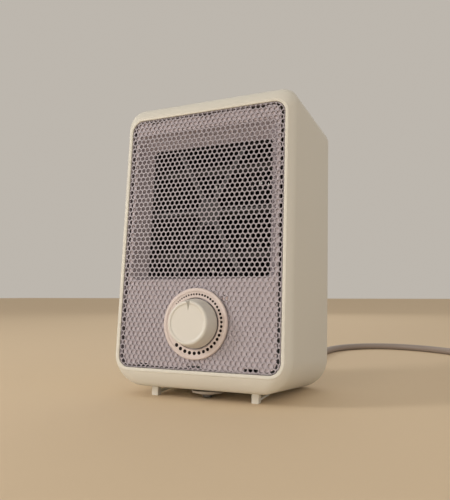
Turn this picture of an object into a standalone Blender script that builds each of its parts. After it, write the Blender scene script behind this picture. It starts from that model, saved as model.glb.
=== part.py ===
"""Compact ceramic space heater: moulded sleeve, perforated front, dial thermostat,
axial fan behind a PTC heating element, front feet and a tip-over plunger.

Everything but the lead is laid out in the housing's own frame (mm helpers below):
X to the right seen from the front, Y into the housing from the plane of the front rim,
Z up along the front. The housing leans back by LEAN on its two front feet, so its parts
hang from an empty that carries that lean. The scene's origin is on the table, under the
middle of the heater.
"""
import math

import bmesh
import bpy
from mathutils import Matrix, Vector

for old in list(bpy.data.objects):
    bpy.data.objects.remove(old, do_unlink=True)

MM = 0.001

# ---- driving dimensions, millimetres and degrees -------------------------------------
LEAN = 5.0            # housing leans back on its front feet
OPEN_HX = 65.35       # half width of the opening in the front rim
OPEN_Z0, OPEN_Z1 = -0.15, 196.55   # bottom and top of that opening
OPEN_R = 9.0          # corner radius of the opening
RIM_W = 2.9           # width of the bright rim around the opening
BODY_HX = 72.5        # half width of the housing
BODY_Z0, BODY_Z1 = -13.9, 208.9    # underside and top of the housing
BODY_RT, BODY_RB = 12.5, 24.5      # corner radii, top and bottom
FLARE = 9.0           # depth over which the rim flares out to the housing
DEPTH = 102.7         # rim to back edge
WALL = 2.5
GAP = 0.3             # play between touching pieces
DIAL_Z = 33.7         # height of the dial's axis
RING_R, RING_IN = 26.0, 18.7       # dial ring, outside and inside
RING_PROUD = 2.0
KNOB_R, KNOB_FACE_R, KNOB_OUT = 17.9, 15.4, 13.5
WIN_HX, WIN_Z0, WIN_Z1 = 51.5, 69.2, 173.5   # window of the hot air outlet
FUN_HX, FUN_Z0, FUN_Z1 = 59.5, 66.5, 184.5   # outer edge of the funnel around it
PANEL_Y, WIN_Y = 1.4, 14.0         # panel plane and window plane
PANEL_T = 1.5
AXIS_Z = 120.5        # fan axis height
FAN_R, DUCT_R = 45.0, 47.0
FOOT_X, FOOT_Y = 41.3, 18.8
FOOT_W, FOOT_D = 5.6, 5.0
PAD_Y, PAD_Z = 92.0, -14.7
PLUNGER_Y = 24.0
CORD_D = 8.0
EXIT_X, EXIT_Z = 14.0, 14.0        # where the lead leaves the back cover

lean = math.radians(LEAN)
CL, SL = math.cos(lean), math.sin(lean)
LIFT = -PAD_Z * CL + PAD_Y * SL    # housing origin above the table
SHIFT_Y = -54.3                    # brings the middle of the heater over the origin


def floor_z(y):
    """Height of the table in the housing's frame, at depth y."""
    return PAD_Z - (PAD_Y - y) * math.tan(lean)


def to_table(x, y, z):
    """A point of the housing's frame, in the table's frame, both in mm."""
    return (x, y * CL + z * SL + SHIFT_Y, -y * SL + z * CL + LIFT)


parts = bpy.data.collections.new("ceramic_space_heater")
tools = bpy.data.collections.new("cutters")
bpy.context.scene.collection.children.link(parts)
bpy.context.scene.collection.children.link(tools)

body = bpy.data.objects.new("housing_frame", None)
parts.objects.link(body)
body.location = (0, SHIFT_Y * MM, LIFT * MM)
body.rotation_euler = (-lean, 0, 0)


def material(name, color, rough, metal=0.0):
    m = bpy.data.materials.new(name)
    m.use_nodes = True
    b = m.node_tree.nodes["Principled BSDF"]
    b.inputs["Base Color"].default_value = (*color, 1)
    b.inputs["Roughness"].default_value = rough
    b.inputs["Metallic"].default_value = metal
    return m


CREAM = (0.72, 0.68, 0.57)
LILAC = (0.50, 0.44, 0.46)
BLACK = (0.02, 0.02, 0.022)


def finish(ob, color, rough, metal=0.0, parent=body, smooth=True, at=(0, 0, 0), collection=None):
    (collection or parts).objects.link(ob)
    if ob.type == "MESH" and smooth:
        ob.data.shade_smooth()
        ob.data.set_sharp_from_angle(angle=math.radians(32))
    if color is not None:
        ob.data.materials.append(material("m_" + ob.name, color, rough, metal))
    ob.parent = parent
    ob.location = Vector(at) * MM
    return ob


def from_bmesh(name, bm):
    bmesh.ops.recalc_face_normals(bm, faces=bm.faces)
    me = bpy.data.meshes.new(name)
    bm.to_mesh(me)
    bm.free()
    return bpy.data.objects.new(name, me)


def rrect(hx, z0, z1, rt, rb, n=6):
    """Rounded rectangle in X and Z, counter-clockwise, n segments a corner."""
    out = []
    for cx, cz, r, a0 in ((hx - rb, z0 + rb, rb, -90), (hx - rt, z1 - rt, rt, 0),
                          (-hx + rt, z1 - rt, rt, 90), (-hx + rb, z0 + rb, rb, 180)):
        for k in range(n + 1):
            a = math.radians(a0 + 90 * k / n)
            out.append((cx + r * math.cos(a), cz + r * math.sin(a)))
    return out


def circle(r, count, cx=0.0, cz=0.0, a0=-90.0):
    return [(cx + r * math.cos(math.radians(a0 + 360 * k / count)),
             cz + r * math.sin(math.radians(a0 + 360 * k / count))) for k in range(count)]


def loft(name, sections, ring):
    """A skin through sections, each (y, outline). ring closes the last onto the first."""
    bm = bmesh.new()
    loops = [[bm.verts.new((x * MM, y * MM, z * MM)) for x, z in pts] for y, pts in sections]
    pairs = list(zip(loops, loops[1:])) + ([(loops[-1], loops[0])] if ring else [])
    for a, b in pairs:
        m = len(a)
        for i in range(m):
            bm.faces.new((a[i], a[(i + 1) % m], b[(i + 1) % m], b[i]))
    if not ring:
        bm.faces.new(loops[0])
        bm.faces.new(list(reversed(loops[-1])))
    return from_bmesh(name, bm)


def box(name, size, bevel=0.0, segments=1):
    """A box centred on its origin."""
    bm = bmesh.new()
    bmesh.ops.create_cube(bm, size=1.0)
    bmesh.ops.scale(bm, vec=Vector(size) * MM, verts=bm.verts)
    ob = from_bmesh(name, bm)
    if bevel:
        b = ob.modifiers.new("edges", "BEVEL")
        b.width = bevel * MM
        b.segments = segments
    return ob


def boxes(name, list_of):
    """One object of separate boxes, each (centre, size)."""
    bm = bmesh.new()
    for c, s in list_of:
        new = bmesh.ops.create_cube(bm, size=1.0)["verts"]
        bmesh.ops.scale(bm, vec=Vector(s) * MM, verts=new)
        bmesh.ops.translate(bm, vec=Vector(c) * MM, verts=new)
    return from_bmesh(name, bm)


def rods(name, list_of, count=20, axis="Y"):
    """One object of separate cylinders, each (centre, radius, length)."""
    turn = {"Z": Matrix(), "Y": Matrix.Rotation(math.radians(90), 4, "X"),
            "X": Matrix.Rotation(math.radians(90), 4, "Y")}[axis]
    bm = bmesh.new()
    for c, r, h in list_of:
        new = bmesh.ops.create_cone(bm, cap_ends=True, segments=count, radius1=r * MM,
                                    radius2=r * MM, depth=h * MM, matrix=turn)["verts"]
        bmesh.ops.translate(bm, vec=Vector(c) * MM, verts=new)
    return from_bmesh(name, bm)


def turned(name, profile, steps=48, axis="Y", closed=False):
    """A profile of (radius, height) points turned about Z. axis Y lays the height along +Y.

    An open profile runs from the axis at the top, down the outside, to the axis again."""
    me = bpy.data.meshes.new(name)
    pts = [(r * MM, 0.0, h * MM) for r, h in profile]
    edges = [(i, i + 1) for i in range(len(pts) - 1)] + ([(len(pts) - 1, 0)] if closed else [])
    me.from_pydata(pts, edges, [])
    ob = bpy.data.objects.new(name, me)
    s = ob.modifiers.new("turn", "SCREW")
    s.angle = math.radians(360)
    s.steps = s.render_steps = steps
    s.use_merge_vertices = True
    s.merge_threshold = 0.00001
    if axis == "Y":
        ob.rotation_euler = (math.radians(-90), 0, 0)
    return ob


def cut(ob, cutter, operation="DIFFERENCE", at=(0, 0, 0), solver="EXACT"):
    """Take the cutter, placed in the same frame as ob, out of ob."""
    finish(cutter, None, 0, parent=body, at=at, smooth=False, collection=tools)
    cutter.hide_render = True
    cutter.display_type = "WIRE"
    m = ob.modifiers.new(operation.lower(), "BOOLEAN")
    m.operation = operation
    m.object = cutter
    m.solver = solver
    return ob


def smooth_path(points, step=4.0):
    """Points spaced along a Catmull-Rom curve through points, in mm."""
    p = [Vector(q) for q in points]
    p = [2 * p[0] - p[1]] + p + [2 * p[-1] - p[-2]]
    out = []
    for i in range(1, len(p) - 2):
        a, b, c, d = p[i - 1:i + 3]
        n = max(2, round((c - b).length / step))
        for k in range(n):
            t = k / n
            out.append(0.5 * ((2 * b) + (c - a) * t + (2 * a - 5 * b + 4 * c - d) * t * t
                              + (3 * b - a - 3 * c + d) * t ** 3))
    out.append(p[-2])
    return out


def tube(name, points, radius, resolution=2):
    """A round wire along points, in mm, as a bevelled poly curve with closed ends."""
    cu = bpy.data.curves.new(name, "CURVE")
    cu.dimensions = "3D"
    cu.bevel_depth = radius * MM
    cu.bevel_resolution = resolution
    cu.use_fill_caps = True
    sp = cu.splines.new("POLY")
    sp.points.add(len(points) - 1)
    for q, v in zip(sp.points, points):
        q.co = (v[0] * MM, v[1] * MM, v[2] * MM, 1)
    return bpy.data.objects.new(name, cu)


# ---- housing sleeve --------------------------------------------------------------------
rim_hx, rim_z0, rim_z1 = OPEN_HX + RIM_W, OPEN_Z0 - RIM_W, OPEN_Z1 + RIM_W
rim_r = OPEN_R + RIM_W


def flare(t):
    """Outline of the sleeve at share t of the flare, from the rim out to the housing."""
    e = math.sin(t * math.pi / 2) ** 0.8
    mix = lambda a, b: a + (b - a) * e
    return rrect(mix(rim_hx, BODY_HX), mix(rim_z0, BODY_Z0), mix(rim_z1, BODY_Z1),
                 mix(rim_r, BODY_RT), mix(rim_r, BODY_RB), 7)


def inset(d, rt=None, rb=None):
    return rrect(BODY_HX - d, BODY_Z0 + d, BODY_Z1 - d,
                 rt if rt is not None else max(BODY_RT - d, 2), rb if rb is not None else max(BODY_RB - d, 2), 7)


front = lambda d: rrect(OPEN_HX + d, OPEN_Z0 - d, OPEN_Z1 + d, OPEN_R + d, OPEN_R + d, 7)
sections = [(0.5 + FLARE * t, flare(t)) for t in (0, 0.06, 0.16, 0.3, 0.48, 0.72, 1.0)]
sections += [(DEPTH - 5.5, inset(0)), (DEPTH - 3.6, inset(0.7)), (DEPTH - 1.6, inset(2.2)), (DEPTH, inset(4.6)),
             (DEPTH, inset(9.7)), (DEPTH - 3.1, inset(9.7)), (DEPTH - 3.1, inset(13.5, 14, 22)),
             (DEPTH - 5.5, inset(13.5, 14, 22)), (DEPTH - 5.5, inset(WALL)), (12.0, inset(WALL)),
             (5.6, front(1.4)), (5.2, front(0)), (0.5, front(0)), (0.0, front(0.6)), (0.0, front(RIM_W - 0.5))]
sleeve = loft("housing_sleeve", sections, ring=True)
finish(sleeve, CREAM, 0.42)
cut(sleeve, rods("cut_plunger_hole", [((0, PLUNGER_Y, BODY_Z0 + 1), 4.3, 8)], 32, "Z"))

COVER_SCREWS = [(sx * x, z) for sx in (-1, 1) for x, z in ((58.0, 194.4), (55.4, 3.2))]
cut(sleeve, rods("cut_cover_screws", [((x, DEPTH - 4, z), 1.7, 6) for x, z in COVER_SCREWS], 16))

# ---- perforated front sheet: a shallow tray that fits inside the rim ---------------------
fit = lambda d: rrect(OPEN_HX - d, OPEN_Z0 + d, OPEN_Z1 - d, OPEN_R - d, OPEN_R - d, 6)
def tray(name):
    """The sheet: a skirt folded back all round, and a flat front."""
    bm = bmesh.new()
    outer = [(5.0, fit(GAP)), (1.0, fit(GAP)), (0.4, fit(GAP + 0.6))]
    inner = [(1.0, fit(GAP + 1.0)), (5.0, fit(GAP + 0.8))]
    loops = [[bm.verts.new((x * MM, y * MM, z * MM)) for x, z in pts] for y, pts in outer + inner]
    m = len(loops[0])
    for a, b in ((0, 1), (1, 2), (3, 4), (4, 0)):
        for i in range(m):
            bm.faces.new((loops[a][i], loops[a][(i + 1) % m], loops[b][(i + 1) % m], loops[b][i]))
    bm.faces.new(loops[2])
    bm.faces.new(list(reversed(loops[3])))
    return from_bmesh(name, bm)


grille = tray("mesh_grille")
finish(grille, LILAC, 0.45, 0.2)
cut(grille, rods("cut_grille_dial", [((0, 1, DIAL_Z), 21.3, 4)], 48))

# ---- inner panel with the funnel that leads to the outlet window -------------------------
pan = lambda hx, z0, z1, r: rrect(hx, z0, z1, r, r, 6)
t = PANEL_T
outline = pan(62.0, 1.7, 194.7, 7)
sections = [(PANEL_Y, outline), (PANEL_Y, pan(FUN_HX, FUN_Z0, FUN_Z1, 5)), (WIN_Y, pan(WIN_HX, WIN_Z0, WIN_Z1, 4)),
            (WIN_Y, pan(WIN_HX + t, WIN_Z0 - t, WIN_Z1 + t, 5)), (PANEL_Y + t, pan(FUN_HX + t, FUN_Z0 - t, FUN_Z1 + t, 6)),
            (PANEL_Y + t, outline)]
panel = loft("inner_panel", sections, ring=True)
finish(panel, LILAC, 0.5)
cut(panel, rods("cut_panel_bush", [((0, PANEL_Y, DIAL_Z), 4.9, 10), ((22, PANEL_Y, 52), 2.6, 10)], 32))
TAB_X = 44.0
cut(panel, boxes("cut_panel_tabs", [((sx * TAB_X, PANEL_Y, z), (11, 8, 3.0)) for sx in (-1, 0, 1) for z in (1.9, 194.6)]))

# ---- dial ring: scale ring with a neck through the sheet ---------------------------------
ring = turned("dial_ring", [(RING_R, 0.0), (RING_R, -1.2), (RING_R - 0.7, -RING_PROUD), (RING_R - 2.2, -RING_PROUD),
                            (RING_R - 3.0, -RING_PROUD + 0.5), (RING_IN + 0.9, -RING_PROUD + 0.5),
                            (RING_IN, -RING_PROUD + 0.9), (RING_IN, 1.1), (20.9, 1.1), (20.9, 0.0)], 44, closed=True)
finish(ring, (0.78, 0.68, 0.60), 0.45, at=(0, 0, DIAL_Z))

# ---- control knob and its shaft ---------------------------------------------------------
knob_profile = [(0, -0.9), (KNOB_R - 0.8, -0.9), (KNOB_R, -1.5), (KNOB_R, -3.2), (KNOB_FACE_R + 0.55, -KNOB_OUT + 1.5),
                (KNOB_FACE_R + 0.1, -KNOB_OUT + 0.45), (KNOB_FACE_R - 0.9, -KNOB_OUT), (KNOB_FACE_R - 1.9, -KNOB_OUT + 0.1),
                (KNOB_FACE_R - 2.7, -KNOB_OUT + 0.6), (0, -KNOB_OUT + 0.6)]
knob = turned("control_knob", knob_profile, 44)
finish(knob, (0.80, 0.76, 0.66), 0.38, at=(0, 0, DIAL_Z))
cut(knob, rods("cut_knob_bore", [((0, -4.9, DIAL_Z), 3.3, 9.0)], 24))
# pointer: a notch with a V floor cut in the front rim at twelve o'clock
notch = box("cut_pointer", (2.6, 2.2, 7.0))
cut(knob, notch, at=(0, -KNOB_OUT + 0.6, DIAL_Z + KNOB_FACE_R - 1.4))
notch.rotation_euler = (math.radians(12), 0, 0)

shaft = turned("thermostat_shaft", [(0, 16.0), (3.0, 16.0), (3.0, -8.6), (2.6, -9.0), (0, -9.0)], 24)
finish(shaft, (0.55, 0.55, 0.56), 0.3, 1.0, at=(0, 0, DIAL_Z))

# ---- thermostat -------------------------------------------------------------------------
thermo = box("thermostat_body", (28, 15.0, 24), 0.8)
finish(thermo, (0.30, 0.24, 0.17), 0.6, at=(0, 11.6, DIAL_Z))
bush = rods("add_thermo_bush", [((0, 2.6, DIAL_Z), 4.4, 6.4)], 28)
cut(thermo, bush, "UNION")
cut(thermo, rods("cut_thermo_bore", [((0, 8, DIAL_Z), 3.08, 18)], 24))
nut = rods("thermostat_nut", [((0, 0, 0), 6.6, 1.6)], 6)
finish(nut, (0.75, 0.72, 0.6), 0.3, 1.0, at=(0, 0.3, DIAL_Z), smooth=False)
cut(nut, rods("cut_nut_bore", [((0, 0.3, DIAL_Z), 4.7, 4)], 28))

# ---- pilot lamp in the panel ------------------------------------------------------------
lamp = turned("indicator_lamp", [(0, 14.0), (2.2, 14.0), (2.2, 3.5), (3.4, 3.5), (3.4, 3.2), (2.3, 3.2), (2.3, 1.9), (1.4, 1.4), (0, 1.2)], 24)
finish(lamp, (0.75, 0.22, 0.10), 0.2, at=(22, 0, 52))

# ---- guard, element frame, fins, stones ---------------------------------------------------
guard = rods("element_guard", [((0, 0, 0), 10.0, 1.8)], 36)
finish(guard, (0.16, 0.15, 0.15), 0.5, at=(0, 15.6, AXIS_Z), smooth=False)
for k, a in enumerate((0, 60, 120)):
    bar = box("add_guard_bar_%d" % k, (109.0 if a == 0 else 112.0, 1.8 - 0.02 * (k + 1), 3.0))
    cut(guard, bar, "UNION", at=(0, 15.6, AXIS_Z))
    bar.rotation_euler = (0, -math.radians(a), 0)

EF_HX, EF_HZ, EF_Y0, EF_Y1 = 57.0, 58.5, 17.0, 33.0
el_frame = loft("element_frame", [(EF_Y0, rrect(EF_HX, AXIS_Z - EF_HZ, AXIS_Z + EF_HZ, 3, 3, 3)),
                                  (EF_Y1, rrect(EF_HX, AXIS_Z - EF_HZ, AXIS_Z + EF_HZ, 3, 3, 3)),
                                  (EF_Y1, rrect(50.0, AXIS_Z - 51.5, AXIS_Z + 51.5, 0.6, 0.6, 3)),
                                  (EF_Y0, rrect(50.0, AXIS_Z - 51.5, AXIS_Z + 51.5, 0.6, 0.6, 3))], ring=True)
finish(el_frame, (0.05, 0.05, 0.05), 0.55)
ROWS = 3
STONE_T, CELL, WEB = 4.6, 7.4, 0.8
CORE_HX, CORE_HZ = 49.6, 51.1
pitch = 2 * CORE_HZ / ROWS


def flat_outline(name, outlines, depth):
    """A flat plate in X and Z with holes: the first outline is its edge, the rest its holes."""
    cu = bpy.data.curves.new(name, "CURVE")
    cu.dimensions = "2D"
    cu.fill_mode = "BOTH"
    cu.extrude = depth / 2 * MM
    for x0, z0, x1, z1 in outlines:
        sp = cu.splines.new("POLY")
        sp.points.add(3)
        for q, (x, z) in zip(sp.points, ((x0, z0), (x1, z0), (x1, z1), (x0, z1))):
            q.co = (x * MM, z * MM, 0, 1)
        sp.use_cyclic_u = True
    ob = bpy.data.objects.new(name, cu)
    ob.rotation_euler = (math.radians(90), 0, 0)
    return ob


# one core of thin webs: rows of air cells above and below each slot for a stone
cells = [(-CORE_HX, -CORE_HZ, CORE_HX, CORE_HZ)]
for i in range(ROWS):
    zc = -CORE_HZ + pitch * (i + 0.5)
    cells.append((-CORE_HX + WEB, zc - STONE_T / 2 - GAP, CORE_HX - WEB, zc + STONE_T / 2 + GAP))
    across = int((2 * CORE_HX - WEB) / CELL)
    wide = (2 * CORE_HX - WEB) / across
    for side in (-1, 1):
        lo = zc + STONE_T / 2 + GAP + WEB if side > 0 else zc - pitch / 2 + WEB / 2
        hi = zc + pitch / 2 - WEB / 2 if side > 0 else zc - STONE_T / 2 - GAP - WEB
        cells += [(-CORE_HX + WEB + k * wide, lo, -CORE_HX + (k + 1) * wide, hi) for k in range(across)]
    stone = box("ceramic_stone_%d" % (i + 1), (2 * (CORE_HX - WEB - GAP), 10.4, STONE_T))
    finish(stone, (0.32, 0.30, 0.28), 0.7, at=(0, 25.5, AXIS_Z + zc), smooth=False)
finish(flat_outline("heating_core", cells, 11.0), (0.10, 0.10, 0.10), 0.45, 0.8, at=(0, 25.5, AXIS_Z), smooth=False)
for tag, sx in (("left", -1), ("right", 1)):
    finish(box("element_terminal_" + tag, (6.3, 0.8, 10.0)), (0.75, 0.74, 0.70), 0.3, 1.0,
           at=(sx * 44.0, 28.5, AXIS_Z - EF_HZ - 5.3), smooth=False)

# ---- fan duct: square at the element, round around the fan --------------------------------
N = 28


def square(h_x, h_z, r):
    return rrect(h_x, AXIS_Z - h_z, AXIS_Z + h_z, r, r, 6)


def disc(r):
    """A circle with as many points as a rounded rectangle, in the same places."""
    out = []
    for a0 in (-90, 0, 90, 180):
        for k in range(7):
            a = math.radians(a0 + (90 * k / 6) * 0.86 + 6.3)
            out.append((r * math.cos(a), AXIS_Z + r * math.sin(a)))
    return out


duct = loft("fan_duct", [(33.3, square(57.0, 58.5, 4)), (36.0, square(57.0, 58.5, 4)), (36.0, square(53.5, 54.5, 6)), (43.0, disc(DUCT_R + 2)),
                         (62.0, disc(DUCT_R + 2)), (62.0, disc(DUCT_R)), (43.5, disc(DUCT_R)), (36.0, square(50.0, 51.0, 4)),
                         (33.3, square(50.0, 51.0, 3))], ring=True)
finish(duct, (0.08, 0.08, 0.08), 0.6)

# ---- fan impeller on the motor shaft -------------------------------------------------------
hub = turned("fan_impeller", [(0, 60.5), (12.4, 60.5), (13.0, 59.8), (13.0, 48.0), (11.5, 46.6), (0, 46.6)], 36)
finish(hub, (0.10, 0.10, 0.11), 0.45, at=(0, 0, AXIS_Z))
BLADES = 7
for k in range(BLADES):
    bm = bmesh.new()
    stations = 5
    rows = []
    for s in range(stations):
        r = 11.0 + (FAN_R - 11.0) * s / (stations - 1)
        twist = math.radians(52 - 22 * s / (stations - 1))
        chord = 15.0 + 9.0 * s / (stations - 1)
        sweep = math.radians(10.0 * s / (stations - 1))
        row = []
        for side in (-1, 1):
            for th in (-0.6, 0.6):
                u = side * chord / 2
                du, dy = u * math.cos(twist) - th * math.sin(twist), u * math.sin(twist) + th * math.cos(twist)
                dy = max(-6.4, min(6.4, dy))
                a = sweep + du / r
                row.append(bm.verts.new((r * math.sin(a) * MM, (53.6 + dy) * MM, r * math.cos(a) * MM)))
        rows.append([row[0], row[1], row[3], row[2]])
    for a, b in zip(rows, rows[1:]):
        for i in range(4):
            bm.faces.new((a[i], a[(i + 1) % 4], b[(i + 1) % 4], b[i]))
    bm.faces.new(rows[0])
    bm.faces.new(list(reversed(rows[-1])))
    bmesh.ops.rotate(bm, cent=(0, 0, 0), matrix=Matrix.Rotation(2 * math.pi * k / BLADES, 3, "Y"), verts=bm.verts)
    cut(hub, from_bmesh("add_blade_%d" % k, bm), "UNION", at=(0, 0, AXIS_Z))
cut(hub, rods("cut_hub_bore", [((0, 52, AXIS_Z), 1.9, 30)], 24))

BUSH_R = 1.68
motor_shaft = turned("motor_shaft", [(0, 86.6), (1.3, 86.6), (1.6, 86.3), (1.6, 45.2), (1.3, 44.9), (0, 44.9)], 24)
finish(motor_shaft, (0.6, 0.6, 0.62), 0.25, 1.0, at=(0, 0, AXIS_Z))
rotor = rods("motor_rotor", [((0, 74.0, AXIS_Z), 10.6, 14.0)], 36)
finish(rotor, (0.35, 0.34, 0.33), 0.4, 0.9)
cut(rotor, rods("cut_rotor_bore", [((0, 74, AXIS_Z), 1.9, 20)], 24))

# ---- motor: bracket, laminated frame, winding, bushes --------------------------------------
bracket = rods("motor_bracket", [((0, 63.9, AXIS_Z), 49.0, 3.2)], 40)
finish(bracket, (0.10, 0.10, 0.10), 0.6)
cut(bracket, rods("cut_bracket_ring", [((0, 63.9, AXIS_Z), 46.2, 8)], 40))
cut(bracket, box("add_bracket_spoke_a", (95.0, 3.16, 6.0)), "UNION", at=(0, 63.9, AXIS_Z))
cut(bracket, box("add_bracket_spoke_b", (6.0, 3.12, 95.0)), "UNION", at=(0, 63.9, AXIS_Z))
cut(bracket, rods("add_bracket_hub", [((0, 63.9, AXIS_Z), 13.0, 3.2)], 24), "UNION")
cut(bracket, rods("cut_bracket_bush", [((0, 63.9, AXIS_Z), 5.0, 8)], 24))

stator = box("motor_stator", (50.0, 11.6, 56.0), 0.6)
finish(stator, (0.25, 0.25, 0.26), 0.45, 0.9, at=(0, 74.0, AXIS_Z - 9.0), smooth=False)
cut(stator, rods("cut_stator_bore", [((0, 74.0, AXIS_Z), 11.3, 30)], 36))
cut(stator, box("cut_stator_window", (27.0, 30, 11.0)), at=(0, 74.0, AXIS_Z - 22.0))
winding = box("motor_winding", (26.0, 16.0, 18.6), 1.2, 2)
finish(winding, (0.50, 0.22, 0.08), 0.4, 0.3, at=(0, 74.0, AXIS_Z - 32.2), smooth=False)
cut(winding, box("cut_winding_core", (40.0, 12.2, 10.2)), at=(0, 74.0, AXIS_Z - 32.3))

for tag, y in (("front", 64.2), ("rear", 83.6)):
    bush = rods("motor_bush_" + tag, [((0, y, AXIS_Z), 4.7, 3.8)], 24)
    finish(bush, (0.55, 0.42, 0.24), 0.35, 1.0)
    cut(bush, rods("cut_bush_" + tag, [((0, y, AXIS_Z), BUSH_R, 10)], 24))
strap = box("bearing_strap", (46.0, 2.0, 13.0), 0.5)
finish(strap, (0.55, 0.55, 0.56), 0.35, 1.0, at=(0, 83.6, AXIS_Z), smooth=False)
cut(strap, rods("cut_strap_bore", [((0, 83.6, AXIS_Z), 5.0, 8)], 24))
cut(strap, boxes("add_strap_legs", [((sx * 20.5, 81.6, AXIS_Z), (4.9, 3.0, 12.8)) for sx in (-1, 1)]), "UNION")
for tag, sx in (("left", -1), ("right", 1)):
    finish(rods("motor_screw_" + tag, [((sx * 20.5, 85.9, AXIS_Z), 2.5, 1.8)], 16), (0.5, 0.5, 0.5), 0.35, 1.0)

# ---- protection parts -----------------------------------------------------------------------
cutout = turned("thermal_cutout", [(0, 187.2), (5.6, 187.2), (7.2, 186.4), (7.2, 179.4), (0, 179.4)], 32, axis="Z")
finish(cutout, (0.12, 0.12, 0.13), 0.4, at=(-26, 25, 0))
fuse = turned("thermal_fuse", [(0, 9.0), (1.2, 8.4), (2.0, 7.4), (2.0, -5.5), (0.5, -6.0), (0.5, -11.0), (0, -11.0)], 20, axis="Z")
finish(fuse, (0.62, 0.60, 0.56), 0.3, 0.9, at=(24, 25, 181.8))
fuse.rotation_euler = (0, math.radians(90), 0)

# ---- feet --------------------------------------------------------------------------------
for tag, sx in (("left", -1), ("right", 1)):
    # post: level with the table underneath, strut behind it up to the underside
    bm = bmesh.new()
    verts = bmesh.ops.create_cube(bm, size=1.0)["verts"]
    for v in verts:
        y = v.co.y * FOOT_D
        v.co = (v.co.x * FOOT_W * MM, y * MM, ((BODY_Z0 - 0.15) if v.co.z > 0 else floor_z(FOOT_Y + y)) * MM)
    foot = from_bmesh("foot_" + tag, bm)
    finish(foot, CREAM, 0.42, at=(sx * FOOT_X, FOOT_Y, 0), smooth=False)
    bev = foot.modifiers.new("edges", "BEVEL")
    bev.width = 0.5 * MM
    bev.segments = 2
    y0, z0 = FOOT_Y + 1.6, floor_z(FOOT_Y) + 2.0
    y1, z1 = FOOT_Y + 30.0, BODY_Z0 - 1.0
    ang = math.atan2(z1 - z0, y1 - y0)
    strut = box("add_strut_" + tag, (3.4, math.hypot(y1 - y0, z1 - z0) + 1.0, 1.5))
    cut(foot, strut, "UNION", at=(sx * FOOT_X, (y0 + y1) / 2, (z0 + z1) / 2))
    strut.rotation_euler = (ang, 0, 0)
for tag, sx in (("left", -1), ("right", 1)):
    bm = bmesh.new()
    new = bmesh.ops.create_cone(bm, cap_ends=True, segments=28, radius1=5.0 * MM, radius2=5.0 * MM, depth=1.0 * MM)["verts"]
    for v in new:
        v.co.z = ((BODY_Z0 - 0.12) if v.co.z > 0 else floor_z(PAD_Y + v.co.y / MM)) * MM
    finish(from_bmesh("rear_pad_" + tag, bm), (0.25, 0.25, 0.25), 0.8, at=(sx * 40.0, PAD_Y, 0))

# ---- tip-over switch ------------------------------------------------------------------------
plunger = turned("tip_plunger", [(0, 15.6), (0.9, 15.4), (1.2, 14.9), (1.2, 13.0), (3.9, 13.0), (3.9, 5.2), (10.9, 5.2),
                                 (11.8, 4.7), (11.7, 4.0), (10.5, 3.4), (5.4, 2.9), (4.5, 1.6), (3.4, 0.5), (2.0, 0.12), (0, 0)], 24, axis="Z")
PL_Z = floor_z(PLUNGER_Y) + 0.22
finish(plunger, (0.62, 0.60, 0.58), 0.5, at=(0, PLUNGER_Y, PL_Z))
TIP_Z = PL_Z + 15.6
lever = box("switch_lever", (5.0, 18.4, 0.8))
PIVOT_Y, PIVOT_Z = PLUNGER_Y + 16.0, TIP_Z + 0.7
finish(lever, (0.62, 0.62, 0.62), 0.3, 1.0, at=(0, PIVOT_Y, PIVOT_Z), smooth=False)
for v in lever.data.vertices:
    v.co.y -= 9.0 * MM
cut(lever, rods("add_lever_barrel", [((0, PIVOT_Y, PIVOT_Z), 1.3, 5.1)], 20, "X"), "UNION")
cut(lever, rods("add_lever_pin", [((0, PIVOT_Y, PIVOT_Z), 0.8, 9.4)], 20, "X"), "UNION")
switch = boxes("tip_switch_body", [((0, PIVOT_Y + 2.0, PIVOT_Z + 9.2), (9.4, 22.0, 14.0))])
finish(switch, (0.04, 0.04, 0.05), 0.5, smooth=False)
cut(switch, boxes("add_switch_foot", [((0, PIVOT_Y + 8.5, (PIVOT_Z + 9.2 + BODY_Z0 + WALL + GAP) / 2),
                                       (9.3, 8.6, PIVOT_Z + 9.2 - (BODY_Z0 + WALL + GAP)))]), "UNION")
cut(switch, boxes("add_switch_ears", [((sx * 3.95, PIVOT_Y, PIVOT_Z + 0.6), (1.4, 5.0, 5.6)) for sx in (-1, 1)]), "UNION")
cut(switch, rods("cut_switch_pivot", [((0, PIVOT_Y, PIVOT_Z), 0.87, 20)], 20, "X"))

# ---- back cover ------------------------------------------------------------------------------
cov = lambda d: rrect(BODY_HX - 9.7 - GAP - d, BODY_Z0 + 9.7 + GAP + d, BODY_Z1 - 9.7 - GAP - d, max(BODY_RT - 9.7 - d, 2.5), max(BODY_RB - 9.7 - d, 2.5), 6)
cover = loft("rear_cover", [(DEPTH - 2.8, cov(0)), (DEPTH - 0.9, cov(0)), (DEPTH - 0.5, cov(0.5))], ring=False)
finish(cover, CREAM, 0.45)
slots = []
for r in range(11):
    z = AXIS_Z - 45 + 9 * r
    for sx in (-1, 1):
        slots.append(((sx * 21.5, DEPTH - 1.5, z), (38.0, 8, 3.8)))
cut(cover, boxes("cut_intake", slots))
cut(cover, rods("cut_cover_holes", [((x, DEPTH - 1.5, z), 1.7, 8) for x, z in COVER_SCREWS] + [((EXIT_X, DEPTH - 1.5, EXIT_Z), 6.3, 8)], 24))
for n, (x, z) in enumerate(COVER_SCREWS):
    screw = turned("cover_screw_%d" % (n + 1), [(0, DEPTH + 1.0), (2.0, DEPTH + 0.9), (2.9, DEPTH + 0.2), (2.9, DEPTH - 0.2),
                                                (1.35, DEPTH - 0.2), (1.35, DEPTH - 5.4), (0, DEPTH - 5.9)], 14)
    finish(screw, (0.5, 0.5, 0.5), 0.35, 1.0, at=(x, 0, z))

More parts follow.
